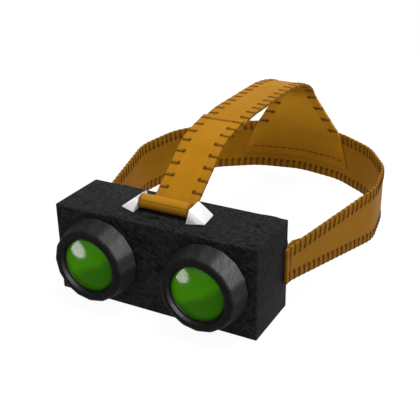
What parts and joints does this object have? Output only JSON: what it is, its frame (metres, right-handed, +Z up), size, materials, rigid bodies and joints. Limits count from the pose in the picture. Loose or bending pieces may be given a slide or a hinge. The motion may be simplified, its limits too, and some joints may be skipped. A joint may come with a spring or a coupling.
{
  "type": "night vision goggles",
  "caption": "Box-shaped goggles with green objective lenses in black focus rings, eyepieces behind a face shield, and a stitched tan leather head harness over a roll and bar on top.",
  "frame": {"origin": "centre of the housing's flat underside, which the goggles stand on", "axes": "+X across to the right as seen from in front, +Y back towards the wearer's head, +Z up"},
  "size_m": [0.175, 0.2372, 0.0913],
  "materials": {
    "wrinkle_black": "fine wrinkle finish",
    "anodised_black": "black anodised",
    "grip_rubber": "satin, fine radial grain",
    "black_plastic": "fine grain",
    "seal_rubber": "matte",
    "green_lens": "polished, green coated",
    "clear_lens": "polished",
    "potting": "cast resin",
    "board_green": "solder mask",
    "battery_sleeve": "satin",
    "nickel": "nickel plated",
    "white_gloss": "gloss",
    "tan_leather": "oiled, stitched edges",
    "foam_rubber": "soft, matte"
  },
  "bodies": {
    "housing": {"battery_contact": "nickel", "battery_door_pin": "nickel", "battery_front": "battery_sleeve", "battery_rear": "battery_sleeve", "battery_spring_front": "nickel", "battery_spring_rear": "nickel", "battery_tray": "black_plastic", "bracket_screw_left": "nickel", "bracket_screw_right": "nickel", "cover_gasket": "seal_rubber", "cover_screw_lower_left": "nickel", "cover_screw_lower_right": "nickel", "cover_screw_upper_left": "nickel", "cover_screw_upper_right": "nickel", "eyepiece_barrel_left": "anodised_black", "eyepiece_barrel_right": "anodised_black", "face_cushion": "foam_rubber", "housing_shell": "wrinkle_black", "intensifier_tube_left": "potting", "intensifier_tube_right": "potting", "objective_barrel_left": "anodised_black", "objective_barrel_right": "anodised_black", "optical_chassis": "black_plastic", "power_board": "board_green", "power_switch": "board_green", "rear_cover": "black_plastic", "shield_frame": "black_plastic", "strap_bar": "nickel", "strap_bracket_left": "white_gloss", "strap_bracket_right": "white_gloss", "voltage_converter": "potting"},
    "harness": {"head_band": "tan_leather", "crown_strap_rear": "tan_leather", "crown_strap_front": "tan_leather", "strap_patch_left": "tan_leather", "pivot_stud_left": "nickel", "strap_patch_right": "tan_leather", "pivot_stud_right": "nickel"},
    "roll": {"strap_roll": "tan_leather"},
    "knob": {"power_knob": "black_plastic"},
    "door": {"battery_door": "black_plastic"},
    "focus_left": {"focus_ring_left": "grip_rubber"},
    "objective_left": {"objective_cell_left": "anodised_black", "objective_lens_left": "green_lens"},
    "diopter_left": {"diopter_ring_left": "grip_rubber"},
    "eyepiece_left": {"eyepiece_cell_left": "anodised_black", "eyepiece_lens_left": "clear_lens"},
    "focus_right": {"focus_ring_right": "grip_rubber"},
    "objective_right": {"objective_cell_right": "anodised_black", "objective_lens_right": "green_lens"},
    "diopter_right": {"diopter_ring_right": "grip_rubber"},
    "eyepiece_right": {"eyepiece_cell_right": "anodised_black", "eyepiece_lens_right": "clear_lens"}
  },
  "joints": [
    {"name": "focus_turn_left", "type": "hinge", "parent": "housing", "child": "focus_left", "pos_m": [-0.0353, -0.02035, 0.028], "axis": [0, -1, 0], "range_deg": [0, 120]},
    {"name": "focus_travel_left", "type": "slide", "parent": "housing", "child": "objective_left", "axis": [0, -1, 0], "range_m": [0, 0.0016]},
    {"name": "diopter_turn_left", "type": "hinge", "parent": "housing", "child": "diopter_left", "pos_m": [-0.0353, 0.02035, 0.028], "axis": [0, 1, 0], "range_deg": [-60, 60]},
    {"name": "diopter_travel_left", "type": "slide", "parent": "housing", "child": "eyepiece_left", "axis": [0, 1, 0], "range_m": [-0.001, 0.001]},
    {"name": "focus_turn_right", "type": "hinge", "parent": "housing", "child": "focus_right", "pos_m": [0.0353, -0.02035, 0.028], "axis": [0, -1, 0], "range_deg": [0, 120]},
    {"name": "focus_travel_right", "type": "slide", "parent": "housing", "child": "objective_right", "axis": [0, -1, 0], "range_m": [0, 0.0016]},
    {"name": "diopter_turn_right", "type": "hinge", "parent": "housing", "child": "diopter_right", "pos_m": [0.0353, 0.02035, 0.028], "axis": [0, 1, 0], "range_deg": [-60, 60]},
    {"name": "diopter_travel_right", "type": "slide", "parent": "housing", "child": "eyepiece_right", "axis": [0, 1, 0], "range_m": [-0.001, 0.001]},
    {"name": "power_knob_turn", "type": "hinge", "parent": "housing", "child": "knob", "pos_m": [-0.065, 0.00165, 0.046], "axis": [-1, 0, 0], "range_deg": [0, 90]},
    {"name": "battery_door_swing", "type": "hinge", "parent": "housing", "child": "door", "pos_m": [-0.0638, -0.01065, 0.028], "axis": [0, 0, 1], "range_deg": [0, 95]},
    {"name": "harness_tilt", "type": "hinge", "parent": "housing", "child": "harness", "pos_m": [0, 0.02835, 0.028], "axis": [1, 0, 0], "range_deg": [0, 12], "deforming": ["crown_strap_front"]},
    {"name": "strap_roll_turn", "type": "hinge", "parent": "housing", "child": "roll", "pos_m": [0, -0.00235, 0.0607], "axis": [1, 0, 0], "range_deg": [0, 12]}
  ],
  "couplings": [
    {"joint": "focus_travel_left", "follows": "focus_turn_left", "m_per_rad": 0.000763},
    {"joint": "diopter_travel_left", "follows": "diopter_turn_left", "m_per_rad": 0.00095},
    {"joint": "focus_travel_right", "follows": "focus_turn_right", "m_per_rad": 0.000763},
    {"joint": "diopter_travel_right", "follows": "diopter_turn_right", "m_per_rad": 0.00095},
    {"joint": "strap_roll_turn", "follows": "harness_tilt", "ratio": 1}
  ]
}
